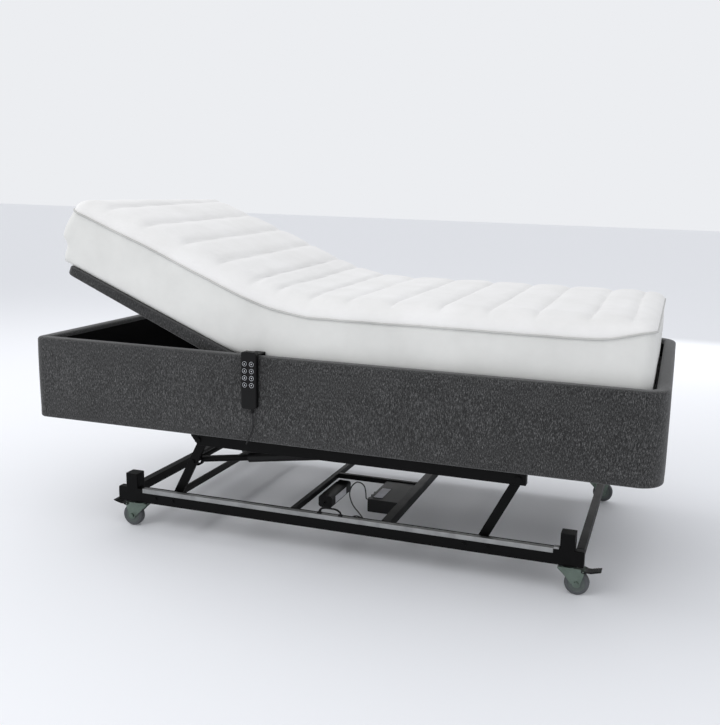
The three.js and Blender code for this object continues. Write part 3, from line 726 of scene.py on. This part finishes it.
def lay(s, y, h):
    """The point at path length s, place y across and height h above the underside."""
    place, normal = spine(s)
    return (place[0] + normal[0] * h, y + SIDE, place[1] + normal[1] * h)


def rows_between(a, b):
    """Path lengths of the mesh rows: even, closer round the end corners, and one on each channel."""
    gap = 0.0085
    count = max(2, int(round((b - a) / gap)))
    rows = [a + (b - a) * k / count for k in range(count + 1)]
    end = []
    for k in range(1, 12):
        back = CORNER * (1 - math.cos(math.radians(90 * k / 12)))
        end += [S_HEAD + back, S_FOOT - back]
    rows = [r for r in rows if S_HEAD + CORNER < r < S_FOOT - CORNER or r in (S_HEAD, S_FOOT)]
    rows += [r for r in end if a < r < b]
    rows += [c for c in CHANNELS if a < c < b]
    rows += [a, b]
    rows = sorted(set(round(r, 6) for r in rows))
    kept = [rows[0]]
    for r in rows[1:-1]:
        if r - kept[-1] > 0.0004:
            kept.append(r)
    return kept + [rows[-1]]


ACROSS = 84
COLUMNS = [math.sin(math.pi / 2 * (-1 + 2 * j / ACROSS)) * 0.35 + (-1 + 2 * j / ACROSS) * 0.65
           for j in range(ACROSS + 1)]
BORDER_LEVELS = [0.0, 0.02, 0.06, 0.11] + [0.16 + 0.74 * k / 18 for k in range(19)] + [0.94, 0.97, 1.0]
PIPE_SIDES = 10


def top_points(rows):
    return [lay(s, half_width(s) * c, top_height(s, half_width(s) * c)) for s in rows for c in COLUMNS]


def under_points(rows):
    """The flat underside, drawn in round its edge."""
    points = []
    for s in rows:
        for c in COLUMNS:
            y = half_width(s) * c
            edge, out = inner(s, y)
            pull = PULLED_IN * max(0.0, 1 - edge / 0.03)
            points.append(lay(s - out[0] * pull, y - out[1] * pull, 0.0))
    return points


def edge_loops(rows, at_head, at_foot):
    """The piece's outer edges: one loop round an end of the mattress, or one line on each side."""
    near = [(s, -half_width(s)) for s in rows]
    far = [(s, half_width(s)) for s in rows]
    if at_head:
        end = [(rows[0], half_width(rows[0]) * c) for c in COLUMNS]
        return [near[::-1] + end[1:-1] + far]
    if at_foot:
        end = [(rows[-1], half_width(rows[-1]) * c) for c in COLUMNS]
        return [near + end[1:-1] + far[::-1]]
    return [near, far]


def border_points(loop):
    """The upright border along an edge."""
    points = []
    for s, y in loop:
        _, out = inner(s, y)
        top = border_height(s) + LIP
        for t in BORDER_LEVELS:
            push = border_out(s, y, t * top, top) if 0 < t < 1 else (-PULLED_IN if t == 0 else 0.0)
            points.append(lay(s + out[0] * push, y + out[1] * push, t * top))
    return points


def piping_points(loop):
    """The round piping sewn between the border and the quilted top."""
    points = []
    for s, y in loop:
        _, out = inner(s, y)
        top = border_height(s) + 0.0035
        for k in range(PIPE_SIDES + 1):
            turn = 2 * math.pi * k / PIPE_SIDES
            push = 0.0004 + PIPE * math.cos(turn)
            points.append(lay(s + out[0] * push, y + out[1] * push, top + PIPE * math.sin(turn)))
    return points


def mattress_piece(name, a, b, swap):
    """One section of the mattress from path length a to b."""
    rows = rows_between(a, b)
    verts, faces, marks = [], [], []

    def grid(points, wide, mark):
        base = len(verts)
        verts.extend(points)
        tall = len(points) // wide
        for i in range(tall - 1):
            for j in range(wide - 1):
                p = base + i * wide + j
                faces.append((p, p + 1, p + wide + 1, p + wide))
                marks.append(mark)

    grid(top_points(rows), len(COLUMNS), 0)
    grid(under_points(rows), len(COLUMNS), 1)
    for loop in edge_loops(rows, a <= S_HEAD + 1e-6, b >= S_FOOT - 1e-6):
        grid(border_points(loop), len(BORDER_LEVELS), 1)
        grid(piping_points(loop), PIPE_SIDES + 1, 2)
    obj = face_out(make(name, verts, faces, [KNIT, BORDER, PIPING], marks))
    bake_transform(obj)
    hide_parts(swap)


mattress_piece("mattress_head", S_HEAD, SPLITS[0], "mattress_back")
mattress_piece("mattress_bend", SPLITS[0], SPLITS[1], "mattress_seat")
mattress_piece("mattress_middle", SPLITS[1], SPLITS[2], "mattress_thigh")
mattress_piece("mattress_foot", SPLITS[2], S_FOOT, "mattress_calf")

# ---------------------------------------------------------------- hard pieces that keep their CAD shape
FINISHES = {
    "STEEL": ("base_side_near", "base_side_far", "power_cross_tube", "control_cross_tube", "head_arm_near",
              "head_arm_far", "foot_arm_near", "foot_arm_far", "lift_rail_near", "lift_rail_far",
              "deck_cross_head", "deck_cross_mid", "deck_cross_foot", "deck_batten_near", "deck_batten_far"),
    "BLACK": ("pull_hoop", "power_supply_box", "control_box", "backrest_drive_tube", "leg_drive_tube",
              "lift_drive_tube"),
    "CHROME": ("backrest_drive_rod", "leg_drive_rod"),
}
FINISH = {"STEEL": (STEEL, 0.0009), "BLACK": (PLASTIC, 0.0012), "CHROME": (CHROME, 0.0005)}


def dress(node, material, width):
    """Gives a CAD piece its material and softened edges."""
    obj = nodes[node]
    obj.data.materials.clear()
    obj.data.materials.append(material)
    weld = obj.modifiers.new("weld", "WELD")
    weld.merge_threshold = 1e-5
    crisp(obj, width)


for kind, names in FINISHES.items():
    for node in names:
        dress(node, *FINISH[kind])
dress("lift_drive_rod", STEEL, 0.0006)
dress("rail_strip", STRIP, 0.0005)
dress("handset_body", HANDSET_SHELL, 0.0012)
CORNERS = ("head_near", "head_far", "foot_near", "foot_far")
for corner in CORNERS:
    dress("castor_fork_" + corner, ZINC, 0.0006)
    dress("castor_pedal_" + corner, PLASTIC, 0.0006)

# ---------------------------------------------------------------- castor wheels
for corner in CORNERS:
    low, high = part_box("castor_wheel_" + corner)
    centre = (low + high) / 2
    radius, wide = (high.z - low.z) / 2, (high.y - low.y) / 2
    hub = [(0.0042, wide), (0.0095, wide), (0.0098, wide - 0.0022), (0.0245, wide - 0.0022)]
    tyre = [(0.0262, wide - 0.0004), (radius - 0.006, wide - 0.0002), (radius - 0.0028, wide - 0.0012),
            (radius - 0.0009, wide - 0.0032), (radius, wide - 0.0062)]
    section = hub + tyre
    section += [(r, -h) for r, h in section[::-1]]
    marks = [1] * len(hub) + [0] * (2 * len(tyre) - 1) + [1] * (len(hub) + 1)
    wheel = spun("wheel_" + corner, centre, (0, 1, 0), section, [RUBBER, HUB], 72, marks)
    crisp(wheel, 0.0003, 1, 40)
    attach(wheel, "wheel_" + corner)
    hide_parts("castor_wheel_" + corner)

# ---------------------------------------------------------------- handset keys and plain marks
RING_RADIUS, RING_THREAD = 0.0072, 0.00058
MARK_SIZE = 0.0027
WEDGE = [(0, 1, 2), (5, 4, 3), (0, 3, 4, 1), (1, 4, 5, 2), (2, 5, 3, 0)]


def key_ring(tag, centre, face):
    """A printed ring round the key's face."""
    turns = [2 * math.pi * k / 40 for k in range(40)]
    loop = [(centre.x + RING_RADIUS * math.cos(turn), face - 0.00005, centre.z + RING_RADIUS * math.sin(turn))
            for turn in turns]
    ring = tube("key_ring_" + tag, loop, RING_THREAD, PRINT, 6, closed=True)
    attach(ring, "key_" + tag)


def key_mark(tag, centre, face, point):
    """A plain triangle that points up (1) or down (-1)."""
    foot = centre.z - point * MARK_SIZE * 0.7
    front = [(centre.x - MARK_SIZE, face - 0.0002, foot), (centre.x + MARK_SIZE, face - 0.0002, foot),
             (centre.x, face - 0.0002, centre.z + point * MARK_SIZE)]
    back = [(x, face + 0.0002, z) for x, _, z in front]
    mark = face_out(make("key_mark_" + tag, front + back, WEDGE, [PRINT], None, False))
    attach(mark, "key_" + tag)


for row in (1, 2, 3, 4):
    for side, point in (("a", 1), ("b", -1)):
        tag = f"{row}{side}"
        dress("handset_key_" + tag, KEY, 0.0004)
        low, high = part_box("handset_key_" + tag)
        centre = (low + high) / 2
        key_ring(tag, centre, low.y)
        key_mark(tag, centre, low.y, point)

# ---------------------------------------------------------------- blank labels on the boxes
LABEL_EDGE = 0.0003
low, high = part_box("power_supply_box")
middle = (low + high) / 2
power_label = plate("power_label", (high.x - 0.0003, middle.y - 0.062, middle.z - 0.013),
                    (high.x + 0.0004, middle.y + 0.042, middle.z + 0.013), LABEL_EDGE, LABEL)
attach(power_label, "base")
low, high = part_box("control_box")
control_label = plate("control_label", (0.094, -0.222 + SIDE, high.z - 0.0004),
                      (0.126, -0.123 + SIDE, high.z + 0.0003), LABEL_EDGE, PALE_LABEL)
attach(control_label, "base")

# ---------------------------------------------------------------- stage and light
FLOOR_REACH, FLOOR_Z = 30, -0.0005
floor_look = Look("studio_floor", rgb(238, 239, 242), 0.75)
floor_look.surface(Specular_IOR_Level=0.2)
floor_plan = [(x * FLOOR_REACH, y * FLOOR_REACH, FLOOR_Z) for x, y in ((-1, -1), (1, -1), (1, 1), (-1, 1))]
floor = make("floor", floor_plan, [(0, 1, 2, 3)], [floor_look.mat], None, False)

world = bpy.data.worlds.new("studio")
bpy.context.scene.world = world
world.use_nodes = True
sky = world.node_tree.nodes["Background"]
sky.inputs["Color"].default_value = (0.955, 0.97, 1.0, 1)
sky.inputs["Strength"].default_value = 0.88


def softbox(name, place, aim, size, watts):
    """A rectangular studio light that the camera does not see."""
    data = bpy.data.lights.new(name, "AREA")
    data.shape = "RECTANGLE"
    data.size, data.size_y = size
    data.energy = watts
    lamp = bpy.data.objects.new(name, data)
    bpy.context.collection.objects.link(lamp)
    lamp.location = place
    lamp.rotation_euler = (Vector(aim) - Vector(place)).to_track_quat("-Z", "Y").to_euler()
    lamp.visible_camera = False


softbox("key", (-1.5, -3.2, 3.0), (0.3, 0, 0.5), (2.0, 1.5), 20)
softbox("head_side", (-4.2, 0.4, 4.0), (0.4, 0, 0.8), (3.0, 2.4), 62)
softbox("low_front", (0.3, -4.6, 0.9), (0, 0.2, 0.0), (4.4, 0.9), 20)
softbox("low_back", (0.0, 4.6, 1.1), (0, -0.2, 0.0), (4.4, 1.0), 30)

bpy.context.scene.view_settings.view_transform = "Standard"
bpy.context.scene.view_settings.look = "None"
